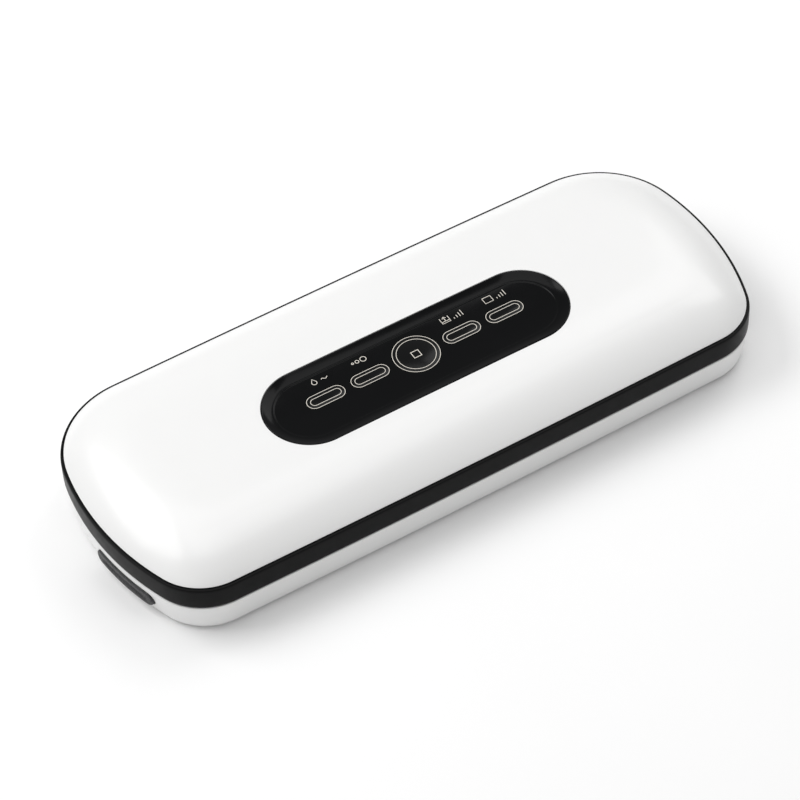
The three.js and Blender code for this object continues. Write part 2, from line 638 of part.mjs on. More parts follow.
function lidLiner() {
  const roof = BAND_BOTTOM + CHAMBER_LID_DEPTH;
  let body = planBody([[BAND_WALL + GAP, BAND_BOTTOM], [BAND_WALL + GAP, LINER_TOP]]);
  body = union(body, stadium(0, CHAMBER_Y, CHAMBER_STRAIGHT, CHAMBER_OUTER, LINER_TOP - 1, roof + 2));
  body = union(body, block(0, HEATER_Y, 2 * HEATER_HALF + 6, TAPE_WIDTH, LINER_TOP - 1, LINER_TOP + 1.6));
  body = union(body, post(PORT_X, PORT_Y, 1.6, roof + 1, roof + 4, 14));
  body = cut(body, stadium(0, CHAMBER_Y, CHAMBER_STRAIGHT, CHAMBER_RADIUS, BAND_BOTTOM - 1, roof));
  body = cut(body, gasketRing(GASKET_INNER - GAP, GASKET_OUTER + GAP, BAND_BOTTOM - 1, BAND_BOTTOM + 1.4));
  body = cut(body, block(0, HEATER_Y, 2 * HEATER_HALF + 2, HEATER_WIDTH + 2 * GAP,
    BAND_BOTTOM - 1, BAND_BOTTOM + 3));
  body = cut(body, post(PORT_X, PORT_Y, 0.9, roof - 1, roof + 5, 10));
  for (const side of [-1, 1]) {
    body = cut(body, mirrored(hookSeat(GAP, BAND_BOTTOM - 1), side));
  }
  for (const [x, y] of LID_SCREWS) {
    body = cut(body, post(x, y, SCREW_HEAD + GAP, BAND_BOTTOM - 1, BAND_BOTTOM + 1.2, 16),
      post(x, y, SCREW_RADIUS + GAP, BAND_BOTTOM - 1, LINER_TOP + 1, 12));
  }
  return cut(body, ...hingeRelief(true), ...hingeRelief(false));
}

function lidLugs() {
  const half = LID_LUG_WIDTH / 2;
  return [-1, 1].flatMap((side) => {
    const x = HINGE_X * side;
    return [rodX(x - half, x + half, AXIS_Y, AXIS_Z, HINGE_RADIUS),
      box(x - half, x + half, HALF_WIDTH - BAND_WALL + 0.4, AXIS_Y + 2.2, AXIS_Z + 1, AXIS_Z + 7)];
  });
}

function hinge(side) {
  const reach = LID_LUG_WIDTH / 2 + GAP + LUG_WIDTH - 0.2;
  return rodX(HINGE_X * side - reach, HINGE_X * side + reach, AXIS_Y, AXIS_Z, PIN_RADIUS, 12);
}

function hookSeat(grow, z0) {
  return box(HOOK_X - 4 - grow, HOOK_X + 4 + grow, BUTTON_Y - 8 - grow, BUTTON_Y + 8 + grow, z0,
    BAND_BOTTOM + 1.5 + grow);
}

function lidHook() {
  const half = HOOK_THICK / 2;
  const barbTop = CATCH_Z - GAP;
  const outline = new THREE.Shape();
  outline.moveTo(HOOK_X + half, BAND_BOTTOM + 1);
  outline.lineTo(HOOK_X - half, BAND_BOTTOM + 1);
  outline.lineTo(HOOK_X - half, barbTop);
  outline.lineTo(HOOK_X - half - BARB, barbTop);
  outline.lineTo(HOOK_X - half - BARB, barbTop - 0.8);
  outline.lineTo(HOOK_X - half, barbTop - HOOK_DROP);
  outline.lineTo(HOOK_X + half, barbTop - HOOK_DROP);
  const geometry = new THREE.ExtrudeGeometry(outline, { depth: HOOK_WIDTH, bevelEnabled: false });
  geometry.rotateX(Math.PI / 2);
  geometry.translate(0, BUTTON_Y + HOOK_WIDTH / 2, 0);
  return union(solid(geometry), hookSeat(0, BAND_BOTTOM + GAP));
}

function lidGasket() {
  return gasketRing(GASKET_INNER, GASKET_OUTER, BASE_TOP + SPLIT / 2 + GAP / 2, BAND_BOTTOM + 1.1);
}

function pressStrip() {
  return block(0, HEATER_Y, 2 * HEATER_HALF + 1, HEATER_WIDTH, BAND_BOTTOM + 0.1, BAND_BOTTOM + 2.7);
}

// ---------------------------------------------------------------- control panel
function stadiumBevel() {
  const rim = PANEL_RADIUS - 0.4;
  const rings = [[rim - PANEL_BEVEL, PANEL_FLOOR], [rim - PANEL_BEVEL * 0.45, PANEL_FLOOR + 0.75],
    [rim - 0.7, PANEL_RIM - 0.35], [rim, PANEL_RIM], [rim, CROWN + 5]];
  return loft(rings.map(([radius, z]) => stadiumRing(0, PANEL_Y, PANEL_STRAIGHT, radius, z, 16)));
}

const KEYS = [
  { name: 'key_drop', x: KEY_ROW_X + KEY_PITCHES[0], straight: KEY_STRAIGHT, radius: KEY_RADIUS },
  { name: 'key_pulse', x: KEY_ROW_X + KEY_PITCHES[1], straight: KEY_STRAIGHT, radius: KEY_RADIUS },
  { name: 'key_stop', x: KEY_ROW_X, straight: 0, radius: STOP_RADIUS },
  { name: 'key_vacuum', x: KEY_ROW_X + KEY_PITCHES[2], straight: KEY_STRAIGHT, radius: KEY_RADIUS },
  { name: 'key_seal', x: KEY_ROW_X + KEY_PITCHES[3], straight: KEY_STRAIGHT, radius: KEY_RADIUS },
];

function keyOutline(key, grow, z0, z1) {
  const straight = Math.max(key.straight, 0.01);
  return stadium(key.x, KEY_ROW_Y, straight, key.radius + grow, z0, z1, 12);
}

function controlPanel() {
  const outer = stadium(0, PANEL_Y, PANEL_STRAIGHT, PANEL_RADIUS, PANEL_UNDER, CROWN + 4, 16);
  let body = cut(outer.intersect(domeVolume(0, [[SKIRT_INSET, 0], [SKIRT_INSET, DOME_BASE]])), stadiumBevel());
  for (const x of BOARD_POSTS) {
    body = union(body, post(x, KEY_ROW_Y - 14, 2.4, BOARD_TOP + GAP, PANEL_UNDER + 0.5, 12));
  }
  for (const key of KEYS) {
    body = cut(body, keyOutline(key, GAP, PANEL_UNDER - 1, CROWN + 1));
  }
  return body;
}

function keyCap(key) {
  return union(keyOutline(key, 0, PANEL_UNDER - 1, PANEL_FLOOR + 0.1),
    keyOutline(key, KEY_FLANGE, PANEL_UNDER - GAP - 0.8, PANEL_UNDER - GAP),
    post(key.x, KEY_ROW_Y, 1.8, BOARD_TOP + 4.8, PANEL_UNDER - 0.5, 12));
}

function tactSwitch(key) {
  return union(block(key.x, KEY_ROW_Y, 6, 6, BOARD_TOP + GAP, BOARD_TOP + 3.6),
    post(key.x, KEY_ROW_Y, 1.6, BOARD_TOP + 3, BOARD_TOP + 4, 12));
}

function controlBoard() {
  return block(0, KEY_ROW_Y - 3, 160, 34, BOARD_TOP - BOARD_THICK, BOARD_TOP);
}

// ---------------------------------------------------------------- pump and air path
function pumpMotor() {
  return turnedX(PUMP_Y, PUMP_Z, [[0, PUMP_X - 2], [3, PUMP_X - 2], [3, PUMP_X], [MOTOR_RADIUS - 1, PUMP_X],
    [MOTOR_RADIUS, PUMP_X + 1], [MOTOR_RADIUS, PUMP_X + MOTOR_LENGTH - 1],
    [MOTOR_RADIUS - 1, PUMP_X + MOTOR_LENGTH], [0, PUMP_X + MOTOR_LENGTH]], 24);
}

function pumpHead() {
  const x = PUMP_X + MOTOR_LENGTH + GAP;
  return union(block(x + 4, PUMP_Y, 8, 21, PUMP_Z - 10, PUMP_Z + 9),
    rodX(x + 7, x + 18, PUMP_Y, PUMP_Z, 9.5, 24),
    rodX(x + 17, x + 20, PUMP_Y, PUMP_Z, 5, 16),
    rodY(x + 12, PUMP_Z - 2, 1.7, PUMP_Y - 15, PUMP_Y - 5, 14));
}

function vacuumHose() {
  const roof = BAND_BOTTOM + CHAMBER_LID_DEPTH;
  const x = PUMP_X + MOTOR_LENGTH + GAP + 12;
  const section = new THREE.Shape();
  section.absarc(0, 0, HOSE_RADIUS, 0, 2 * Math.PI, false);
  const bore = new THREE.Path();
  bore.absarc(0, 0, HOSE_BORE, 0, 2 * Math.PI, true);
  section.holes.push(bore);
  const path = new THREE.CatmullRomCurve3([
    new THREE.Vector3(PORT_X, PORT_Y, roof + 2.4), new THREE.Vector3(PORT_X, PORT_Y, roof + 6.5),
    new THREE.Vector3(PORT_X + 6, PORT_Y + 4, roof + 9.5), new THREE.Vector3(x - 1, PUMP_Y - 25, PUMP_Z - 1.4),
    new THREE.Vector3(x, PUMP_Y - 17, PUMP_Z - 2), new THREE.Vector3(x, PUMP_Y - 11.5, PUMP_Z - 2)]);
  return solid(new THREE.ExtrudeGeometry(section, {
    steps: 14, curveSegments: 5, bevelEnabled: false, extrudePath: path }));
}

function releaseValve() {
  const z = LINER_TOP + 11;
  return union(block(VALVE_X, PUMP_Y, 22, 15, LINER_TOP + 4, LINER_TOP + 19),
    rodX(VALVE_X + 10.5, VALVE_X + 17, PUMP_Y, z, 4, 16), rodX(VALVE_X - 19, VALVE_X - 10, PUMP_Y, z, 1.7, 12));
}

// ---------------------------------------------------------------- assembly
function finish(color, roughness, metalness = 0) {
  return new THREE.MeshStandardMaterial({ color, roughness, metalness });
}

const LOOKS = {
  shell: finish(0xeff0ee, 0.35),
  trim: finish(0x141517, 0.45),
  panel: finish(0x0c0d0f, 0.18),
  key: finish(0x101113, 0.25),
  grip: finish(0x17181b, 0.7),
  inner: finish(0x3a3c3f, 0.6),
  rubber: finish(0x1c1c1d, 0.9),
  silicone: finish(0x8c9094, 0.7),
  tape: finish(0xb98f5a, 0.5),
  steel: finish(0xb9bcc0, 0.3, 1),
  board: finish(0x1d5a36, 0.5),
  ferrite: finish(0x2a2a2c, 0.8),
  plastic: finish(0x2b2d30, 0.5),
};

const sealer = new THREE.Group();

function add(name, body, look) {
  const mesh = new THREE.Mesh(geometryOf(body), LOOKS[look]);
  mesh.name = name;
  mesh.position.y = -(HINGE_RADIUS + HINGE_BEHIND) / 2;
  sealer.add(mesh);
}

function addBase() {
  add('base_housing', baseHousing(), 'shell');
  add('deck', deck(), 'inner');
  add('drip_tray', dripTray(), 'plastic');
  add('base_gasket', baseGasket(), 'silicone');
  add('heater_bar', heaterBar(), 'plastic');
  add('heating_wire', heatingWire(), 'steel');
  add('heater_tape', heaterTape(), 'tape');
  add('power_board', powerBoard(), 'board');
  add('transformer', transformer(), 'ferrite');
  add('capacitor', capacitor(BOARD_X + 28), 'plastic');
  add('heat_sink', heatSink(), 'steel');
  add('mains_inlet', mainsInlet(), 'plastic');
  add('inlet_pin_1', inletPin(-INLET_PIN_X), 'steel');
  add('inlet_pin_2', inletPin(INLET_PIN_X), 'steel');
  add('lid_switch', lidSwitch(), 'plastic');
  FOOT_PLACES.forEach((place, i) => add(`foot_${i + 1}`, foot(place), 'rubber'));
  BASE_SCREWS.forEach((place, i) => add(`base_screw_${i + 1}`, screw(place, FOOT_HEIGHT + 0.2), 'steel'));
}

function addLid() {
  add('lid_cover', lidCover(), 'shell');
  add('trim_band', trimBand(), 'trim');
  add('lid_liner', lidLiner(), 'inner');
  add('control_panel', controlPanel(), 'panel');
  add('control_board', controlBoard(), 'board');
  KEYS.forEach((key, i) => {
    add(key.name, keyCap(key), 'key');
    add(`tact_switch_${i + 1}`, tactSwitch(key), 'plastic');
  });
  add('lid_gasket', lidGasket(), 'silicone');
  add('press_strip', pressStrip(), 'silicone');
  add('pump_motor', pumpMotor(), 'steel');
  add('pump_head', pumpHead(), 'plastic');
  add('vacuum_hose', vacuumHose(), 'silicone');
  add('release_valve', releaseValve(), 'plastic');
  LID_SCREWS.forEach((place, i) => add(`lid_screw_${i + 1}`, screw(place, BAND_BOTTOM + 0.2), 'steel'));
}

function addSides() {
  for (const [side, word] of [[-1, 'left'], [1, 'right']]) {
    add(`release_button_${word}`, mirrored(releaseButton(), side), 'grip');
    add(`catch_slider_${word}`, mirrored(catchSlider(), side), 'plastic');
    add(`release_spring_${word}`, mirrored(releaseSpring(), side), 'steel');
    add(`lid_hook_${word}`, mirrored(lidHook(), side), 'plastic');
    add(`hinge_pin_${word}`, hinge(side), 'steel');
  }
}

addBase();
addLid();
addSides();

export default sealer;
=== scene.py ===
import bpy
import bmesh
import json
import math
import random
from mathutils import Matrix, Vector


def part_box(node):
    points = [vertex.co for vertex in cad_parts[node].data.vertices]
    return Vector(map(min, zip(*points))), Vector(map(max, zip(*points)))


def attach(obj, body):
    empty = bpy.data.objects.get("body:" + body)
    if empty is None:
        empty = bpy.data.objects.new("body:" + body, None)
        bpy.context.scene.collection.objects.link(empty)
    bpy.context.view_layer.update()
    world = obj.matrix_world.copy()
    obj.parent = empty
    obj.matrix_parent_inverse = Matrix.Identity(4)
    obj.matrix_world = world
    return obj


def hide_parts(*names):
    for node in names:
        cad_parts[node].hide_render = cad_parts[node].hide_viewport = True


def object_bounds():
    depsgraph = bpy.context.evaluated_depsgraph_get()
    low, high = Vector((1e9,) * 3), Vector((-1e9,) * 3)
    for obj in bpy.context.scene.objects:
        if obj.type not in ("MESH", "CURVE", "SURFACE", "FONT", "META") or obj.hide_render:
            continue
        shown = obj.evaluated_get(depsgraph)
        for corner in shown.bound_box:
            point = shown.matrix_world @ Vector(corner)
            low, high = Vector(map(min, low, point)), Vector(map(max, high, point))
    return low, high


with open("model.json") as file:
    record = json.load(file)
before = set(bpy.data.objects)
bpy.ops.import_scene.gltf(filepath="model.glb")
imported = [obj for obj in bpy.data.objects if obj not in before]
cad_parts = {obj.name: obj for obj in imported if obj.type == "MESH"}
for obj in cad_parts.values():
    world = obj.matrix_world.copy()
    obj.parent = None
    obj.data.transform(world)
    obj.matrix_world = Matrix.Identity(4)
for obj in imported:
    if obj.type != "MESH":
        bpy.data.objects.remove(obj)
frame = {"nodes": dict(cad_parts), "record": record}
CAD_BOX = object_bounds()

# Everything below is worked out in millimetres; new_mesh() turns it into metres.
MM = 0.001
TAU = 2 * math.pi


def cad(node):
    """The lowest and highest corner of a CAD node, in millimetres."""
    low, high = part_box(node)
    return low / MM, high / MM


# ------------------------------------------------------------------ sizes from the frame
BAND_LOW, BAND_HIGH = cad("trim_band")
COVER_LOW, COVER_HIGH = cad("lid_cover")
DECK_HIGH = cad("deck")[1]
LINER_LOW, LINER_HIGH = cad("lid_liner")
PANEL_LOW, PANEL_HIGH = cad("control_panel")
BASE_LOW = cad("base_housing")[0]

GAP = 0.3
HALF_LENGTH = BAND_HIGH.x
PLAN_Y = (COVER_LOW.y + COVER_HIGH.y) / 2      # middle of the body, front to back
HALF_WIDTH = PLAN_Y - BAND_LOW.y
DOME_INSET = 1.0                               # the dome's edge is drawn this much further in than in the CAD
LEDGE = COVER_LOW.y - BAND_LOW.y + DOME_INSET  # how far the band stands out past the drawn dome
FRONT_RADIUS = 32.5
BACK_RADIUS = 49.6
SIDE_BOW = 1.0
END_BOW = 7.1
END_SHIFT = 4.0
SHELL = 2.4
BASE_BOTTOM = BASE_LOW.z
BASE_TOP = DECK_HIGH.z + GAP
BAND_BOTTOM = LINER_LOW.z
BAND_HEIGHT = 13.4
BAND_TOP = BAND_BOTTOM + BAND_HEIGHT
BAND_WALL = 2.2
DOME_BASE = BAND_TOP + GAP
EDGE_RUN = 38.0
CROWN_RISE = 2.0
EDGE_RISE = COVER_HIGH.z - DOME_BASE - CROWN_RISE

PANEL_Y = (PANEL_LOW.y + PANEL_HIGH.y) / 2
PANEL_RADIUS = (PANEL_HIGH.y - PANEL_LOW.y) / 2
PANEL_STRAIGHT = (PANEL_HIGH.x - PANEL_LOW.x) / 2 - PANEL_RADIUS
PANEL_BEVEL = 5.2
KEY_NAMES = ("drop", "pulse", "stop", "vacuum", "seal")
STOP_TOP = cad("key_stop")[1].z
PANEL_FLOOR = STOP_TOP - 0.1
PANEL_UNDER = PANEL_FLOOR - 2.0


# ------------------------------------------------------------------ meshes
def new_mesh(name, points, faces):
    mesh = bpy.data.meshes.new(name)
    mesh.from_pydata([Vector(p) * MM for p in points], [], faces)
    piece = bpy.data.objects.new(name, mesh)
    bpy.context.scene.collection.objects.link(piece)
    return piece


def smooth(piece, angle=32):
    """Smooth shading that breaks at edges sharper than the angle."""
    for polygon in piece.data.polygons:
        polygon.use_smooth = True
    piece.data.set_sharp_from_angle(angle=math.radians(angle))
    return piece


def applied(piece):
    """Turns a piece's modifiers into its mesh."""
    bpy.context.view_layer.update()
    evaluated = piece.evaluated_get(bpy.context.evaluated_depsgraph_get())
    mesh = bpy.data.meshes.new_from_object(evaluated)
    piece.modifiers.clear()
    piece.data = mesh
    return piece


def boolean(piece, others, operation):
    for other in others:
        modifier = piece.modifiers.new(operation.lower(), "BOOLEAN")
        modifier.operation = operation
        modifier.solver = "EXACT"
        modifier.object = other
        applied(piece)
        bpy.data.objects.remove(other)
    return piece


def carve(piece, cutters):
    return boolean(piece, cutters, "DIFFERENCE")


def join(piece, others):
    return boolean(piece, others, "UNION")


def loft(name, rings, closed=False):
    """Joins rings of equal count. A closed loft comes back to its first ring; an open one is capped."""
    count = len(rings[0])
    points = [p for ring in rings for p in ring]
    faces = []
    levels = len(rings) if closed else len(rings) - 1
    for level in range(levels):
        upper = (level + 1) % len(rings)
        for i in range(count):
            j = (i + 1) % count
            faces.append((level * count + i, level * count + j, upper * count + j, upper * count + i))
    if not closed:
        for ring, flip in ((0, True), (len(rings) - 1, False)):
            centre = len(points)
            points.append(sum((Vector(p) for p in rings[ring]), Vector()) / count)
            for i in range(count):
                a, b = ring * count + i, ring * count + (i + 1) % count
                faces.append((b, a, centre) if flip else (a, b, centre))
    return smooth(new_mesh(name, points, faces))


def box_piece(name, low, high):
    low, high = Vector(low), Vector(high)
    ring = [(low.x, low.y), (high.x, low.y), (high.x, high.y), (low.x, high.y)]
    points = [(x, y, z) for z in (low.z, high.z) for x, y in ring]
    faces = [(3, 2, 1, 0), (4, 5, 6, 7), (0, 1, 5, 4), (1, 2, 6, 5), (2, 3, 7, 6), (3, 0, 4, 7)]
    return new_mesh(name, points, faces)


def turned(name, profile, place=(0, 0, 0), axis="Z", segments=48):
    """A piece turned on an axis from a profile of (radius, height), capped at both ends."""
    rings = []
    for radius, height in profile:
        radius = max(radius, 0.01)
        ring = []
        for i in range(segments):
            a = TAU * i / segments
            u, v = radius * math.cos(a), radius * math.sin(a)
            local = {"Z": (u, v, height), "X": (height, u, v), "Y": (v, height, u)}[axis]
            ring.append(Vector(local) + Vector(place))
        rings.append(ring)
    return loft(name, rings)


# ------------------------------------------------------------------ outlines
def bow_radius(half, bow):
    return (half * half + bow * bow) / (2 * bow)


SQUARE_END = 28
SIDE_R = bow_radius(HALF_LENGTH - SQUARE_END, SIDE_BOW)
END_R = bow_radius(HALF_WIDTH - SQUARE_END, END_BOW)
SIDE_Y = HALF_WIDTH - SIDE_R
END = Vector((HALF_LENGTH - END_R, END_SHIFT))


def corner_centre(side, radius):
    """Centre of the corner arc that touches a long side (1 back, -1 front) and the right end."""
    start = Vector((0, side * SIDE_Y))
    apart = (END - start).length
    way = (END - start) / apart
    to_side, to_end = SIDE_R - radius, END_R - radius
    along = (apart * apart + to_side * to_side - to_end * to_end) / (2 * apart)
    across = side * math.sqrt(to_side * to_side - along * along)
    return Vector((start.x + way.x * along + way.y * across, start.y + way.y * along - way.x * across))


FRONT = corner_centre(-1, FRONT_RADIUS)
BACK = corner_centre(1, BACK_RADIUS)
FRONT_SIDE = math.atan2(FRONT.y + SIDE_Y, FRONT.x)
FRONT_END = math.atan2(FRONT.y - END.y, FRONT.x - END.x)
BACK_END = math.atan2(BACK.y - END.y, BACK.x - END.x)
BACK_SIDE = math.atan2(BACK.y - SIDE_Y, BACK.x)
SIDE_STEPS, CORNER_STEPS, END_STEPS = 30, 24, 24


def mirrored(half):
    """A whole outline from its right half, which runs from the front middle to the back middle."""
    return half + [(-x, y) for x, y in reversed(half[1:-1])]


def plan_outline(inset):
    half = []
    arcs = ((0, -SIDE_Y, SIDE_R, -math.pi / 2, FRONT_SIDE, SIDE_STEPS),
            (FRONT.x, FRONT.y, FRONT_RADIUS, FRONT_SIDE, FRONT_END, CORNER_STEPS),
            (END.x, END.y, END_R, FRONT_END, BACK_END, END_STEPS),
            (BACK.x, BACK.y, BACK_RADIUS, BACK_END, BACK_SIDE, CORNER_STEPS),
            (0, SIDE_Y, SIDE_R, BACK_SIDE, math.pi / 2, SIDE_STEPS))
    for cx, cy, radius, start, stop, steps in arcs:
        for i in range(steps):
            a = start + (stop - start) * i / steps
            half.append((cx + (radius - inset) * math.cos(a), cy + (radius - inset) * math.sin(a)))
    half.append((0.0, HALF_WIDTH - inset))
    return mirrored(half)


def edge_distance(x, y):
    """How far inside the outline a point lies, with y measured from the body's middle line."""
    x = abs(x)
    corners = ((FRONT, FRONT_RADIUS, FRONT_SIDE, FRONT_END), (BACK, BACK_RADIUS, BACK_END, BACK_SIDE))
    for centre, radius, low, high in corners:
        dx, dy = x - centre.x, y - centre.y
        if dx * dx + dy * dy > 1e-9 and low <= math.atan2(dy, dx) <= high:
            return radius - math.hypot(dx, dy)
    side = SIDE_R - math.hypot(x, abs(y) - SIDE_Y)
    return min(side, END_R - math.hypot(x - END.x, y - END.y))


def plan_ring(inset, z):
    return [Vector((x, PLAN_Y + y, z)) for x, y in plan_outline(inset)]


def plan_loft(name, profile, closed=False):
    return loft(name, [plan_ring(inset, z) for inset, z in profile], closed)


def stadium_outline(straight, radius):
    """A flat outline with round ends, with as many points as the body's outline."""
    round_steps = 2 * CORNER_STEPS + END_STEPS
    half = [(straight * i / SIDE_STEPS, -radius) for i in range(SIDE_STEPS)]
    for i in range(round_steps):
        a = math.pi * (i / round_steps - 0.5)
        half.append((straight + radius * math.cos(a), radius * math.sin(a)))
    half += [(straight * (1 - i / SIDE_STEPS), radius) for i in range(SIDE_STEPS + 1)]
    return mirrored(half)


def stadium_ring(x, y, straight, radius, z):
    return [Vector((x + u, y + v, z)) for u, v in stadium_outline(straight, radius)]


def stadium_loft(name, x, y, straight, profile, closed=False):
    return loft(name, [stadium_ring(x, y, straight, radius, z) for radius, z in profile], closed)


def wall_x(y, inset):
    """How far out the body's end wall lies at a distance y from its middle line."""
    high = END.y + (END_R - inset) * math.sin(BACK_END)
    low = END.y + (END_R - inset) * math.sin(FRONT_END)
    if low <= y <= high:
        return END.x + math.sqrt((END_R - inset) ** 2 - (y - END.y) ** 2)
    centre, radius = (BACK, BACK_RADIUS) if y > high else (FRONT, FRONT_RADIUS)
    return centre.x + math.sqrt(max((radius - inset) ** 2 - (y - centre.y) ** 2, 0))


# ------------------------------------------------------------------ shader helpers
def material(name, color, roughness, metallic=0.0, **inputs):
    made = bpy.data.materials.new(name)
    made.use_nodes = True
    shader = made.node_tree.nodes["Principled BSDF"]
    shader.inputs["Base Color"].default_value = (*color, 1)
    shader.inputs["Roughness"].default_value = roughness
    shader.inputs["Metallic"].default_value = metallic
    for key, value in inputs.items():
        shader.inputs[key.replace("_", " ")].default_value = value
    return made


def node(made, kind, **values):
    made_node = made.node_tree.nodes.new(kind)
    for key, value in values.items():
        if key in made_node.inputs:
            made_node.inputs[key].default_value = value
        else:
            setattr(made_node, key, value)
    return made_node


def noise(made, scale, detail=3.0, stretch=(1, 1, 1)):
    """Noise in the object's own metres; scale is the number of lumps in a metre."""
    place = node(made, "ShaderNodeTexCoord")
    mapping = node(made, "ShaderNodeMapping")
    mapping.inputs["Scale"].default_value = stretch
    texture = node(made, "ShaderNodeTexNoise", Scale=scale, Detail=detail)
    made.node_tree.links.new(place.outputs["Object"], mapping.inputs["Vector"])
    made.node_tree.links.new(mapping.outputs["Vector"], texture.inputs["Vector"])
    return texture.outputs["Fac"]


def cells(made, scale, feature="F1"):
    place = node(made, "ShaderNodeTexCoord")
    texture = node(made, "ShaderNodeTexVoronoi", Scale=scale, feature=feature)
    made.node_tree.links.new(place.outputs["Object"], texture.inputs["Vector"])
    return texture.outputs["Distance"]


def ramp(made, source, low, high, start=0.3, stop=0.7):
    """Maps a source onto a range of numbers or colours."""
    stops = node(made, "ShaderNodeValToRGB")
    made.node_tree.links.new(source, stops.inputs["Fac"])
    for element, position, value in zip(stops.color_ramp.elements, (start, stop), (low, high)):
        element.position = position
        element.color = (*value, 1) if isinstance(value, tuple) else (value, value, value, 1)
    return stops.outputs["Color"]


def feed(made, source, socket):
    shader = made.node_tree.nodes["Principled BSDF"]
    made.node_tree.links.new(source, shader.inputs[socket])


def bump(made, sources):
    """Adds up bumps, each (height source, distance in millimetres, strength)."""
    last = None
    for source, distance, strength in sources:
        step = node(made, "ShaderNodeBump", Distance=distance * MM, Strength=strength)
        made.node_tree.links.new(source, step.inputs["Height"])
        if last:
            made.node_tree.links.new(last.outputs["Normal"], step.inputs["Normal"])
        last = step
    feed(made, last.outputs["Normal"], "Normal")


# ------------------------------------------------------------------ materials
def moulded(name, color, roughness, spread=0.05, grain=1400, depth=0.02, ripple=0.0, **inputs):
    """Injection-moulded plastic: faint tone drift, uneven gloss and a fine surface grain."""
    made = material(name, color, roughness, **inputs)
    dark = tuple(c * (1 - spread) for c in color)
    feed(made, ramp(made, noise(made, 22), dark, color), "Base Color")
    feed(made, ramp(made, noise(made, 130, 5), roughness * 0.88, min(roughness * 1.14, 1)), "Roughness")
    bumps = [(noise(made, grain, 2), depth, 0.35)]
    if ripple:
        bumps.append((noise(made, 45, 1), ripple, 0.3))
    bump(made, bumps)
    return made


def pebbled(name, color, roughness):
    """Black grip with a leather-like pebble."""
    made = material(name, color, roughness)
    feed(made, ramp(made, cells(made, 900), (0.045, 0.046, 0.05), color, 0.0, 0.5), "Base Color")
    feed(made, ramp(made, noise(made, 500), roughness * 0.8, roughness), "Roughness")
    bump(made, [(cells(made, 900), 0.28, 0.8), (noise(made, 2600, 2), 0.04, 0.4)])
    return made


def foam(name, color):
    made = material(name, color, 0.95)
    feed(made, ramp(made, cells(made, 1500), tuple(c * 0.4 for c in color), color, 0.05, 0.45), "Base Color")
    bump(made, [(cells(made, 1500), 0.25, 0.8), (noise(made, 300), 0.2, 0.4)])
    return made


def woven(name, color):
    """Glass cloth under a PTFE skin."""
    made = material(name, color, 0.42)
    place = node(made, "ShaderNodeTexCoord")
    waves = []
    for direction in ("X", "Y"):
        wave = node(made, "ShaderNodeTexWave", Scale=420.0, Distortion=0.3, bands_direction=direction)
        made.node_tree.links.new(place.outputs["Object"], wave.inputs["Vector"])
        waves.append(wave.outputs["Fac"])
    dark = tuple(c * 0.75 for c in color)
    feed(made, ramp(made, waves[0], dark, color), "Base Color")
    feed(made, ramp(made, noise(made, 300), 0.35, 0.5), "Roughness")
    bump(made, [(waves[0], 0.05, 0.4), (waves[1], 0.05, 0.4)])
    return made


def brushed(name, color, roughness, stretch=(1, 30, 30)):
    made = material(name, color, roughness, 1.0)
    streaks = noise(made, 60, 6, stretch)
    feed(made, ramp(made, streaks, roughness * 0.7, roughness * 1.3), "Roughness")
    feed(made, ramp(made, noise(made, 90), tuple(c * 0.85 for c in color), color), "Base Color")
    bump(made, [(streaks, 0.02, 0.3)])
    return made


def circuit(name):
    """Solder mask with tracks and pads."""
    made = material(name, (0.02, 0.11, 0.04), 0.35)
    tracks = cells(made, 160, "DISTANCE_TO_EDGE")
    feed(made, ramp(made, tracks, (0.05, 0.22, 0.09), (0.015, 0.085, 0.03), 0.02, 0.06), "Base Color")
    feed(made, ramp(made, noise(made, 300), 0.3, 0.45), "Roughness")
    bump(made, [(tracks, 0.05, 0.3)])
    return made


SHELL_WHITE = moulded("shell_white", (0.86, 0.86, 0.855), 0.32, 0.006, 420, 0.004, 0.0, Coat_Weight=0.2,
                      Coat_Roughness=0.12)
TRIM_BLACK = moulded("trim_black", (0.0022, 0.0023, 0.0026), 0.38, 0.25, 900, 0.006, Specular_IOR_Level=0.09)
PANEL_BLACK = moulded("panel_black", (0.0032, 0.0034, 0.0038), 0.16, 0.15, 1200, 0.002, 0.0,
                      Specular_IOR_Level=0.11)
KEY_BLACK = moulded("key_black", (0.0034, 0.0036, 0.0040), 0.18, 0.15, 1200, 0.002, 0.0, Specular_IOR_Level=0.17)
GRIP_BLACK = pebbled("grip_black", (0.012, 0.012, 0.014), 0.5)
DECK_GREY = moulded("deck_grey", (0.045, 0.047, 0.05), 0.5, 0.12, 1600, 0.05)
TRAY_GREY = moulded("tray_grey", (0.03, 0.031, 0.033), 0.22, 0.1, 1500, 0.01)
PLASTIC_BLACK = moulded("plastic_black", (0.02, 0.02, 0.022), 0.45, 0.2, 1500, 0.04)
GASKET_FOAM = foam("gasket_foam", (0.07, 0.07, 0.075))
SILICONE = moulded("silicone_grey", (0.30, 0.32, 0.33), 0.55, 0.08, 900, 0.03, Subsurface_Weight=0.15,
                   Subsurface_Scale=0.002)
TAPE = woven("heater_cloth", (0.36, 0.20, 0.08))
STEEL = brushed("plated_steel", (0.60, 0.61, 0.62), 0.3)
BOARD = circuit("board_green")
FERRITE = moulded("ferrite", (0.03, 0.03, 0.032), 0.7, 0.3, 1800, 0.08)
RUBBER = moulded("foot_rubber", (0.018, 0.018, 0.018), 0.85, 0.3, 2500, 0.08)
PRINT = moulded("print_cream", (0.80, 0.76, 0.68), 0.5, 0.04, 3000, 0.004)

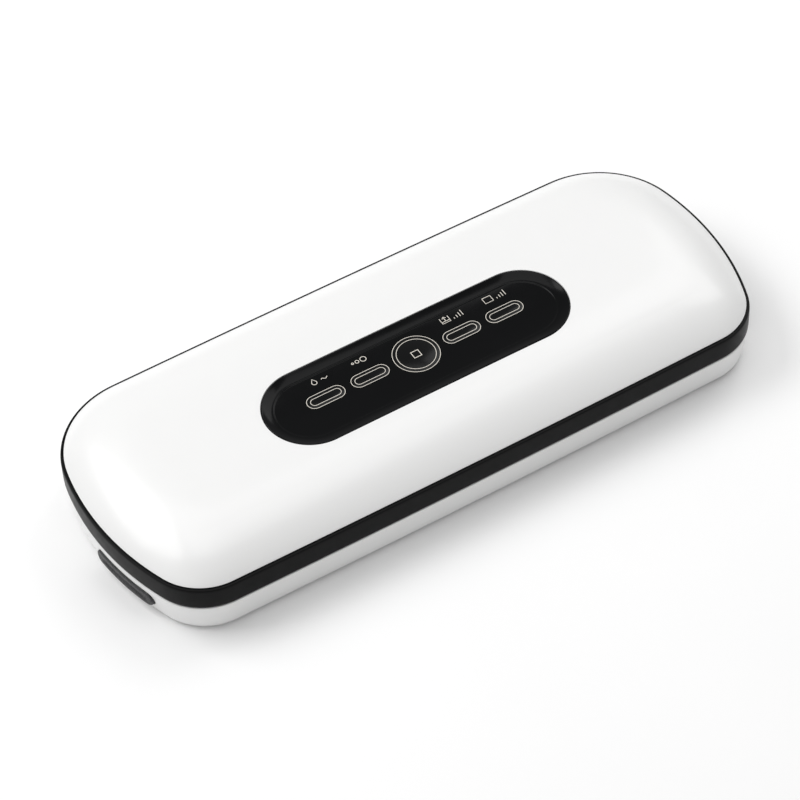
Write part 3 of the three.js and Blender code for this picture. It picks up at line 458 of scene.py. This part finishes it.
SLOT_MATERIALS = {
    "shell": SHELL_WHITE, "trim": TRIM_BLACK, "panel": PANEL_BLACK, "key": KEY_BLACK, "grip": GRIP_BLACK,
    "deck": DECK_GREY, "tray": TRAY_GREY, "plastic": PLASTIC_BLACK, "gasket": GASKET_FOAM, "silicone": SILICONE,
    "tape": TAPE, "steel": STEEL, "board": BOARD, "ferrite": FERRITE, "rubber": RUBBER,
}


def place(piece, body, slot, *nodes):
    """Gives a new piece its body, its finish and the CAD nodes that it stands for."""
    piece.data.materials.clear()
    piece.data.materials.append(SLOT_MATERIALS[slot])
    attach(piece, body)
    if nodes:
        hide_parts(*nodes)
    return piece


def dress_cad_nodes():
    """Finishes for the CAD nodes that stay in view."""
    for row in frame["record"]["subparts"]:
        shown = frame["nodes"][row["node"]]
        shown.data.materials.clear()
        shown.data.materials.append(SLOT_MATERIALS[row["material_slot"]])
        smooth(shown, 28)


# ------------------------------------------------------------------ hinge pieces
def hinge_facts():
    """Centre height and depth of the hinge axis, and each pin's middle."""
    low, high = cad("hinge_pin_left")
    centre = (low + high) / 2
    return centre.y, centre.z, abs(centre.x)


HINGE_Y, HINGE_Z, HINGE_X = hinge_facts()
HINGE_RADIUS = BAND_HIGH.y - HINGE_Y
LID_LUG = 12.0
BASE_LUG = 6.0


def barrel(x0, x1, radius, name="barrel"):
    return turned(name, [(radius, x0), (radius, x1)], (0, HINGE_Y, HINGE_Z), "X", 40)


def lid_lugs():
    for side in (-1, 1):
        x = HINGE_X * side
        yield barrel(x - LID_LUG / 2, x + LID_LUG / 2, HINGE_RADIUS)
        yield box_piece("web", (x - LID_LUG / 2, PLAN_Y + HALF_WIDTH - BAND_WALL + 0.4, HINGE_Z + 1),
                        (x + LID_LUG / 2, HINGE_Y + 2.2, HINGE_Z + 7))


def base_lugs():
    for side in (-1, 1):
        for end in (-1, 1):
            x = HINGE_X * side + end * (LID_LUG / 2 + GAP + BASE_LUG / 2)
            yield barrel(x - BASE_LUG / 2, x + BASE_LUG / 2, HINGE_RADIUS)
            yield box_piece("web", (x - BASE_LUG / 2, PLAN_Y + HALF_WIDTH - 2.6, 11),
                            (x + BASE_LUG / 2, HINGE_Y + 2.2, HINGE_Z - 1))


def relief(inner, outer):
    """Room round the hinge barrels, between two distances from each hinge's middle."""
    for side in (-1, 1):
        x = HINGE_X * side
        if inner == 0:
            yield barrel(x - outer, x + outer, HINGE_RADIUS + 0.5)
        else:
            for end in (-1, 1):
                a, b = sorted((x + end * inner, x + end * outer))
                yield barrel(a, b, HINGE_RADIUS + 0.5)


def bores():
    reach = LID_LUG / 2 + BASE_LUG + 2
    for side in (-1, 1):
        yield barrel(HINGE_X * side - reach, HINGE_X * side + reach, 1.5)


# ------------------------------------------------------------------ base
BASE_PROFILE = [(6.6, 0), (4.6, 0), (3.6, 0.15), (2.9, 0.6), (2.4, 1.3), (2.1, 2.4), (1.65, 5.0), (1.2, 8.5),
                (0.8, 12.0), (0.5, 14.5)]
BASE_RIM = [(0.4, -0.7), (0.5, -0.25), (0.8, 0.0), (1.4, 0.0), (1.6, -0.1)]


def button_facts(word):
    low, high = cad(f"release_button_{word}")
    return (low + high) / 2, high.y - low.y, high.z - low.z


def capsule_x(x0, x1, y, z, length, height):
    """A capsule outline in the YZ plane, extruded along X."""
    outline = stadium_outline((length - height) / 2, height / 2)
    return loft("capsule", [[Vector((x, y + u, z + v)) for u, v in outline] for x in (x0, x1)])


def base_shell():
    bottom = [(inset, BASE_BOTTOM + rise) for inset, rise in BASE_PROFILE]
    rim = [(inset, BASE_TOP + drop) for inset, drop in BASE_RIM]
    wall = 0.8 + SHELL
    inner = [(wall - 0.3, BASE_TOP), (wall, BASE_TOP - 0.3), (wall, BASE_BOTTOM + 5), (wall + 2.2, BASE_BOTTOM + 2.2)]
    piece = plan_loft("base_shell", bottom + rim + inner)
    cutters = list(relief(0, LID_LUG / 2 + GAP))
    for word in ("left", "right"):
        middle, length, height = button_facts(word)
        side = 1 if middle.x > 0 else -1
        x0, x1 = sorted((side * (HALF_LENGTH - 20), side * (HALF_LENGTH + 5)))
        cutters.append(capsule_x(x0, x1, middle.y, middle.z, length + 2 * GAP, height + 2 * GAP))
    low, high = cad("mains_inlet")
    grow = Vector((GAP, 4, GAP))
    cutters.append(box_piece("inlet_cut", low - grow, high + grow))
    for i in range(1, 5):
        low, high = cad(f"base_screw_{i}")
        x, y = (low.x + high.x) / 2, (low.y + high.y) / 2
        cutters.append(turned("screw_cut", [(3.1, -1), (3.1, BASE_BOTTOM + 1.2)], (x, y, 0)))
    carve(piece, cutters[:2])
    join(piece, base_lugs())
    carve(piece, cutters[2:] + list(bores()))
    place(smooth(piece, 25), "base", "shell", "base_housing")


def feet():
    for i in range(1, 5):
        low, high = cad(f"foot_{i}")
        x, y = (low.x + high.x) / 2, (low.y + high.y) / 2
        r = (high.x - low.x) / 2
        profile = [(r - 3.4, 0.35), (r - 3.0, 0), (r - 1.0, 0), (r - 0.35, 0.15), (r - 0.06, 0.5), (r, 0.9),
                   (r, BASE_BOTTOM + 0.4)]
        place(turned(f"rubber_foot_{i}", profile, (x, y, 0), segments=64), "base", "rubber", f"foot_{i}")


def cross_recess(x, y, z, depth):
    """Two crossed slots for a screw head that faces down."""
    for size in ((3.4, 0.8), (0.8, 3.4)):
        yield box_piece("slot", (x - size[0] / 2, y - size[1] / 2, z - 0.2),
                        (x + size[0] / 2, y + size[1] / 2, z + depth))


def screws():
    for group, body in (("base_screw", "base"), ("lid_screw", "lid")):
        for i in range(1, 5):
            low, high = cad(f"{group}_{i}")
            x, y = (low.x + high.x) / 2, (low.y + high.y) / 2
            r = (high.x - low.x) / 2
            z = low.z
            piece = turned(f"{group}_head_{i}", [(1.2, z), (r - 0.5, z + 0.06), (r - 0.1, z + 0.3), (r, z + 0.6),
                                                 (1.4, z + 0.95), (1.4, high.z - 1), (0.4, high.z)], (x, y, 0))
            carve(piece, cross_recess(x, y, z, 0.55))
            place(smooth(piece, 30), body, "steel", f"{group}_{i}")


# ------------------------------------------------------------------ release buttons
def release_button(word):
    """A capsule that follows the end wall and stands proud of it, with softened edges."""
    middle, length, height = button_facts(word)
    side = 1 if middle.x > 0 else -1
    radius = height / 2
    straight = length / 2 - radius
    inset_at = 1.0                 # the end wall's inset at the button's height
    proud, soft = 1.3, 1.0         # how far it stands out, and its rounding

    def ring(shrink, out):
        points = []
        for u, v in stadium_outline(straight, radius - shrink):
            y = middle.y + u
            x = wall_x(y - PLAN_Y, inset_at) + out
            points.append(Vector((side * x, y, middle.z + v)))
        return points

    rings = [ring(0, -7.0), ring(0, -0.4)]
    steps = 9
    for i in range(steps + 1):
        a = math.pi / 2 * i / steps
        rings.append(ring(soft * (1 - math.cos(a)), proud - soft * 0.7 * (1 - math.sin(a))))
    rings.append(ring(soft + 0.9, proud - 0.12))
    rings.append(ring(soft + 1.8, proud - 0.12))
    piece = loft(f"release_grip_{word}", rings)
    if side > 0:
        piece.data.flip_normals()
    place(smooth(piece, 50), f"release_{word}", "grip", f"release_button_{word}")


# ------------------------------------------------------------------ lid
def sharp_height(x, y):
    """The dome above its base, as a plain function of the distance from its edge."""
    share = 1 - min(max((edge_distance(x, y) - LEDGE) / EDGE_RUN, 0), 1)
    crown = (1 - (x / HALF_LENGTH) ** 2) * (1 - (y / HALF_WIDTH) ** 2)
    return (1 - share ** 2.3) ** 0.9 * (EDGE_RISE + CROWN_RISE * crown)


def dome_z(x, y):
    """The dome's surface, evened out over a disc that grows with the distance from the edge."""
    y -= PLAN_Y
    run = edge_distance(x, y) - LEDGE
    reach = min(0.55 * max(run, 0), 13)
    if reach < 0.2:
        return DOME_BASE + sharp_height(x, y)
    total = sharp_height(x, y)
    for share, count in ((0.55, 8), (1.0, 12)):
        for i in range(count):
            a = TAU * (i + share) / count
            total += sharp_height(x + reach * share * math.cos(a), y + reach * share * math.sin(a))
    return DOME_BASE + total / 21


def on_dome(points, drop=0.0):
    for p in points:
        p.z = dome_z(p.x, p.y) - drop
    return points


def blend_rings(a, b, shares, drop):
    """Rings between two outlines, lying on the dome."""
    return [on_dome([p.lerp(q, t) for p, q in zip(a, b)], drop) for t in shares]


def lid_dome():
    hole = PANEL_RADIUS + GAP
    skirt = BAND_WALL + GAP
    rings = [plan_ring(skirt, LINER_HIGH.z - 4), plan_ring(skirt, DOME_BASE - 0.01)]
    rings += [plan_ring(LEDGE + 0.25, DOME_BASE)]
    rings += [plan_ring(LEDGE + 0.06, DOME_BASE + 0.08), plan_ring(LEDGE, DOME_BASE + 0.25)]
    runs = [0.12, 0.3, 0.6, 1.0, 1.5, 2.1, 2.8, 3.6, 4.5, 5.6, 7, 8.6, 10.4, 12.4, 14.6, 17, 19.6, 22.4]
    rings += [on_dome(plan_ring(LEDGE + run, 0)) for run in runs]
    edge = [stadium_ring(0, PANEL_Y, PANEL_STRAIGHT, hole + grow, 0) for grow in (0.5, 0.15, 0.0)]
    rings += blend_rings(rings[-1], edge[0], [i / 24 for i in range(1, 24)], 0.0)
    rings += [on_dome(edge[0]), on_dome(edge[1], 0.1), on_dome(edge[2], 0.45)]
    rings.append(on_dome(stadium_ring(0, PANEL_Y, PANEL_STRAIGHT, hole, 0), SHELL))
    under = [on_dome(plan_ring(LEDGE + SHELL + run, 0), SHELL) for run in (20, 12, 6, 2.5)]
    rings += blend_rings(rings[-1], under[0], (0.3, 0.6, 0.85), SHELL)
    rings += under
    rings.append(plan_ring(skirt + SHELL, DOME_BASE - 2))
    rings.append(plan_ring(skirt + SHELL, LINER_HIGH.z - 4))
    place(smooth(loft("lid_dome", rings, closed=True), 40), "lid", "shell", "lid_cover")


BAND_PROFILE = [(1.5, 0.0), (1.0, 0.02), (0.6, 0.15), (0.25, 0.5), (0.08, 1.1), (0.0, 2.2), (0.0, 6.7), (0.0, 11.2),
                (0.04, 12.3), (0.14, 12.9), (0.32, 13.26), (0.6, BAND_HEIGHT), (1.5, BAND_HEIGHT)]


def band_ring():
    profile = [(inset, BAND_BOTTOM + rise) for inset, rise in BAND_PROFILE]
    profile += [(BAND_WALL - 0.2, BAND_TOP), (BAND_WALL, BAND_TOP - 0.2), (BAND_WALL, BAND_BOTTOM + 0.2),
                (BAND_WALL - 0.2, BAND_BOTTOM)]
    piece = plan_loft("band_ring", profile, closed=True)
    join(piece, lid_lugs())
    carve(piece, list(relief(LID_LUG / 2, LID_LUG / 2 + 2 * GAP + BASE_LUG)) + list(bores()))
    place(smooth(piece, 30), "lid", "trim", "trim_band")


# ------------------------------------------------------------------ control panel
def key_facts(name):
    """Middle, half length of the straight sides and radius of a key's face."""
    low, high = cad(f"key_{name}")
    flange = 1.1
    middle = (low + high) / 2
    radius = (high.y - low.y) / 2 - flange
    straight = (high.x - low.x) / 2 - flange - radius
    return middle, max(straight, 0.01), radius


def panel_tray():
    """A shallow black dish: rim flush with the dome, a hollow slope, a flat floor with key holes."""
    rim = PANEL_RADIUS - 0.35
    rings = [stadium_ring(0, PANEL_Y, PANEL_STRAIGHT, PANEL_RADIUS, PANEL_UNDER)]
    rings.append(on_dome(stadium_ring(0, PANEL_Y, PANEL_STRAIGHT, PANEL_RADIUS, 0), 0.3))
    rings.append(on_dome(stadium_ring(0, PANEL_Y, PANEL_STRAIGHT, PANEL_RADIUS - 0.1, 0), 0.08))
    rings.append(on_dome(stadium_ring(0, PANEL_Y, PANEL_STRAIGHT, rim, 0), 0.0))
    top = on_dome(stadium_ring(0, PANEL_Y, PANEL_STRAIGHT, rim - 0.3, 0), 0.12)
    rings.append(top)
    steps = 12
    for i in range(1, steps + 1):
        t = i / steps
        inward = PANEL_BEVEL * t
        ring = stadium_ring(0, PANEL_Y, PANEL_STRAIGHT, rim - 0.3 - inward, 0)
        fall = 1 - (1 - t) ** 1.5
        for p, q in zip(ring, top):
            p.z = q.z + (PANEL_FLOOR + 0.35 - q.z) * fall
        rings.append(ring)
    inner = rim - 0.3 - PANEL_BEVEL
    for shrink, rise in ((0.25, 0.33), (0.5, 0.2), (0.7, 0.06), (1.0, 0.0)):
        rings.append(stadium_ring(0, PANEL_Y, PANEL_STRAIGHT, inner - shrink, PANEL_FLOOR + rise))
    piece = loft("panel_tray", rings)
    for name in KEY_NAMES:
        middle, straight, radius = key_facts(name)
        cutter = stadium_loft("key_cut", middle.x, middle.y, straight, [(radius + 0.22, PANEL_UNDER - 1),
                                                                        (radius + 0.22, PANEL_FLOOR + 3)])
        carve(piece, [cutter])
    place(smooth(piece, 30), "lid", "panel", "control_panel")


def key_cap(name):
    middle, straight, radius = key_facts(name)
    low, _ = cad(f"key_{name}")
    top = PANEL_FLOOR + 0.1
    profile = [(1.8, low.z), (1.8, PANEL_UNDER - GAP - 0.8), (radius + 1.1, PANEL_UNDER - GAP - 0.8),
               (radius + 1.1, PANEL_UNDER - GAP), (radius, PANEL_UNDER - GAP), (radius, top - 0.2),
               (radius - 0.06, top - 0.06), (radius - 0.2, top)]
    rings = []
    for r, z in profile:
        length = straight if r > 2 else 0.01
        rings.append(stadium_ring(middle.x, middle.y, length, r, z))
    place(smooth(loft(f"key_cap_{name}", rings), 30), f"key_{name}", "key", f"key_{name}")


PRINT_THICK = 0.05


def strip(points, width, z, closed):
    """A flat printed line of a given width along points, as a thin closed solid."""
    count = len(points)
    left, right = [], []
    for i, p in enumerate(points):
        before = points[(i - 1) % count] if closed or i else p
        after = points[(i + 1) % count] if closed or i < count - 1 else p
        along = (Vector(after) - Vector(before)).normalized()
        side = Vector((-along.y, along.x)) * width / 2
        left.append((p[0] + side.x, p[1] + side.y))
        right.append((p[0] - side.x, p[1] - side.y))
    verts = [(x, y, z + h) for h in (0, PRINT_THICK) for x, y in left + right]
    faces = []
    steps = count if closed else count - 1
    for i in range(steps):
        j = (i + 1) % count
        a, b, c, d = i, j, count + j, count + i
        up = 2 * count
        faces += [(a, b, c, d), (up + d, up + c, up + b, up + a), (b, a, up + a, up + b), (d, c, up + c, up + d)]
    if not closed:
        for i in (0, count - 1):
            ends = (i, count + i, 3 * count + i, 2 * count + i)
            faces.append(ends if i == 0 else ends[::-1])
    return verts, faces


def outline_points(straight, radius, x, y, steps=16):
    points = []
    for side in (1, -1):
        for i in range(steps + 1):
            a = math.pi * (i / steps - 0.5) + (0 if side > 0 else math.pi)
            points.append((x + side * straight + radius * math.cos(a), y + radius * math.sin(a)))
    if straight < 0.1:
        points = [(x + radius * math.cos(TAU * i / 64), y + radius * math.sin(TAU * i / 64)) for i in range(64)]
    return points


def printed(name, lines, body, z):
    """One mesh of printed lines, each (points, width, closed)."""
    points, faces = [], []
    for line, width, closed in lines:
        verts, polys = strip(line, width, z, closed)
        start = len(points)
        points += verts
        faces += [tuple(start + i for i in face) for face in polys]
    piece = new_mesh(name, points, faces)
    made = bmesh.new()
    made.from_mesh(piece.data)
    bmesh.ops.recalc_face_normals(made, faces=made.faces)
    made.to_mesh(piece.data)
    made.free()
    piece.data.materials.append(PRINT)
    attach(piece, body)
    return piece


def arc_points(x, y, radius, start, stop, steps=18):
    return [(x + radius * math.cos(math.radians(start + (stop - start) * i / steps)),
             y + radius * math.sin(math.radians(start + (stop - start) * i / steps))) for i in range(steps + 1)]


def symbol(name, x, y):
    """A small pictogram for each key: drop, pulses, square, bag with arrow, bag with bar and level marks."""
    w = 0.36
    if name == "drop":
        drop = [(x, y + 2.1)] + arc_points(x, y - 0.5, 1.35, 35, -215, 22)
        wave = [(x + 4 + 0.55 * i, y + 0.5 * math.sin(i * 1.1) - 0.4) for i in range(8)]
        return [(drop, w, True), (wave, w, False)]
    if name == "pulse":
        pulses = ((-3.2, 0.55), (-0.6, 1.0), (3.0, 1.6))
        return [(arc_points(x + dx, y, r, 0, 360, 20)[:-1], w, True) for dx, r in pulses]
    if name == "stop":
        s = 2.1
        return [([(x - s, y - s), (x + s, y - s), (x + s, y + s), (x - s, y + s)], 0.55, True)]
    level = [([(x + 2.2 + 1.7 * i, y - 2.0), (x + 2.2 + 1.7 * i, y - 1.0 + i)], w, False) for i in range(4)]
    x -= 2.6
    bag = [(x - 2.4, y + 2.0), (x - 2.4, y - 2.0), (x + 2.4, y - 2.0), (x + 2.4, y + 2.0)]
    lines = [(bag, w, False)] + level
    if name == "vacuum":
        lines.append(([(x, y - 1.0), (x, y + 2.2)], w, False))
        lines.append(([(x - 1.1, y + 1.1), (x, y + 2.3), (x + 1.1, y + 1.1)], w, False))
    bar = y + (2.0 if name == "seal" else -0.9)
    lines.append(([(x - 2.4, bar), (x + 2.4, bar)], w, False))
    return lines


SYMBOL_BEHIND = 12.0           # the pictograms lie this far behind their keys
LINE_WIDTH = 0.3


def key_prints():
    """Twin outlines on each key and a pictogram behind it."""
    for name in KEY_NAMES:
        middle, straight, radius = key_facts(name)
        top = PANEL_FLOOR + 0.1
        outer = radius - 0.35
        inner = outer - (2.1 if name == "stop" else 2.0)
        lines = [(outline_points(straight, r, middle.x, middle.y), LINE_WIDTH, True) for r in (outer, inner)]
        if name == "stop":
            lines += symbol(name, middle.x, middle.y)
        else:
            printed(f"symbol_{name}", symbol(name, middle.x, middle.y + SYMBOL_BEHIND), "lid", PANEL_FLOOR)
        printed(f"print_{name}", lines, f"key_{name}", top)


# ------------------------------------------------------------------ inside, seen with the lid open
def gasket(name, nodename, body, up):
    """A foam ring with a rounded working face."""
    low, high = cad(nodename)
    y = (low.y + high.y) / 2
    outer = (high.y - low.y) / 2
    straight = (high.x - low.x) / 2 - outer
    width = 6.0
    face, back = (high.z, low.z) if up else (low.z, high.z)
    rings = [stadium_ring(0, y, straight, outer - width, back), stadium_ring(0, y, straight, outer, back)]
    steps = 8
    for i in range(steps + 1):
        a = math.pi * i / steps
        r = outer - width / 2 + width / 2 * math.cos(a)
        z = face - (face - back) * 0.45 * (1 - math.sin(a))
        rings.append(stadium_ring(0, y, straight, r, z))
    piece = loft(name, rings, closed=True)
    if not up:
        piece.data.flip_normals()
    place(smooth(piece, 40), body, "gasket", nodename)


def tape():
    low, high = cad("heater_tape")
    random.seed(4)
    count = 120
    points, faces = [], []
    across = 6
    for i in range(count + 1):
        for j in range(across + 1):
            x = low.x + (high.x - low.x) * i / count
            y = low.y + (high.y - low.y) * j / across
            lift = 0.0 if j in (0, across) else 0.06 * math.sin(i * 0.9 + j) + random.uniform(-0.02, 0.02)
            points.append((x, y, high.z - 0.08 + lift))
    for i in range(count):
        for j in range(across):
            a = i * (across + 1) + j
            faces.append((a, a + across + 1, a + across + 2, a + 1))
    piece = new_mesh("tape_strip", points, faces)
    modifier = piece.modifiers.new("thick", "SOLIDIFY")
    modifier.thickness = 0.12 * MM
    modifier.offset = -1
    place(smooth(applied(piece), 60), "base", "tape", "heater_tape")


# ------------------------------------------------------------------ studio
def aim(thing, direction, roll=0.0):
    thing.rotation_mode = "QUATERNION"
    turn = (-direction).to_track_quat("-Z", "Y")
    thing.rotation_quaternion = turn @ Matrix.Rotation(math.radians(roll), 4, "Z").to_quaternion()


CAMERA_AZIMUTH = -29.29        # degrees, from the front towards the left
CAMERA_ELEVATION = 48.41
CAMERA_ROLL = -3.0
CAMERA_LENS = 136.2
CAMERA_DISTANCE = 1576
TARGET_HEIGHT = 1.72
TARGET_LEFT = 6.14             # shift of the aim across the view
TARGET_UP = 3.75


def camera():
    azimuth, elevation = math.radians(CAMERA_AZIMUTH), math.radians(CAMERA_ELEVATION)
    back = Vector((math.sin(azimuth) * math.cos(elevation), -math.cos(azimuth) * math.cos(elevation),
                   math.sin(elevation)))
    data = bpy.data.cameras.new("camera")
    data.sensor_width = 36
    data.lens = CAMERA_LENS
    data.clip_end = 20
    view = bpy.data.objects.new("camera", data)
    bpy.context.scene.collection.objects.link(view)
    aim(view, back, CAMERA_ROLL)
    right = view.rotation_quaternion @ Vector((1, 0, 0))
    up = view.rotation_quaternion @ Vector((0, 1, 0))
    target = Vector((0, PLAN_Y, TARGET_HEIGHT)) - right * TARGET_LEFT + up * TARGET_UP
    view.location = (target + back * CAMERA_DISTANCE) * MM
    bpy.context.scene.camera = view


def softbox(name, place_at, look_at, size, power, color=(1, 1, 1)):
    data = bpy.data.lights.new(name, "AREA")
    data.shape = "RECTANGLE"
    data.size, data.size_y = size
    data.energy = power
    data.color = color
    light = bpy.data.objects.new(name, data)
    light.location = place_at
    aim(light, Vector(place_at) - Vector(look_at))
    bpy.context.scene.collection.objects.link(light)


def studio():
    low, high = CAD_BOX
    floor = new_mesh("floor", [(-3000, -3000, 0), (3000, -3000, 0), (3000, 3000, 0), (-3000, 3000, 0)],
                     [(0, 1, 2, 3)])
    floor_look = material("floor_white", (0.965, 0.965, 0.965), 0.7)
    feed(floor_look, ramp(floor_look, noise(floor_look, 8), (0.96, 0.96, 0.96), (0.97, 0.97, 0.97)), "Base Color")
    floor.data.materials.append(floor_look)
    middle = (low + high) / 2
    softbox("key_light", (-1.0, 0.9, 1.5), middle, (1.3, 1.0), 17.5)
    softbox("top_light", (0.1, 0.2, 1.9), middle, (1.4, 1.4), 10.5)
    softbox("side_light", (1.2, 0.5, 1.3), middle, (1.0, 1.0), 6.5)
    softbox("fill_light", (-1.3, -0.8, 0.9), middle, (1.2, 0.9), 1.6)
    world = bpy.data.worlds.new("studio")
    bpy.context.scene.world = world
    world.use_nodes = True
    background = world.node_tree.nodes["Background"]
    background.inputs["Color"].default_value = (1, 1, 1, 1)
    background.inputs["Strength"].default_value = 0.39
    bpy.context.scene.view_settings.view_transform = "Standard"


dress_cad_nodes()
base_shell()
feet()
screws()
for word in ("left", "right"):
    release_button(word)
lid_dome()
band_ring()
panel_tray()
for key in KEY_NAMES:
    key_cap(key)
key_prints()
gasket("foam_ring_base", "base_gasket", "base", True)
gasket("foam_ring_lid", "lid_gasket", "lid", False)
tape()
camera()
studio()
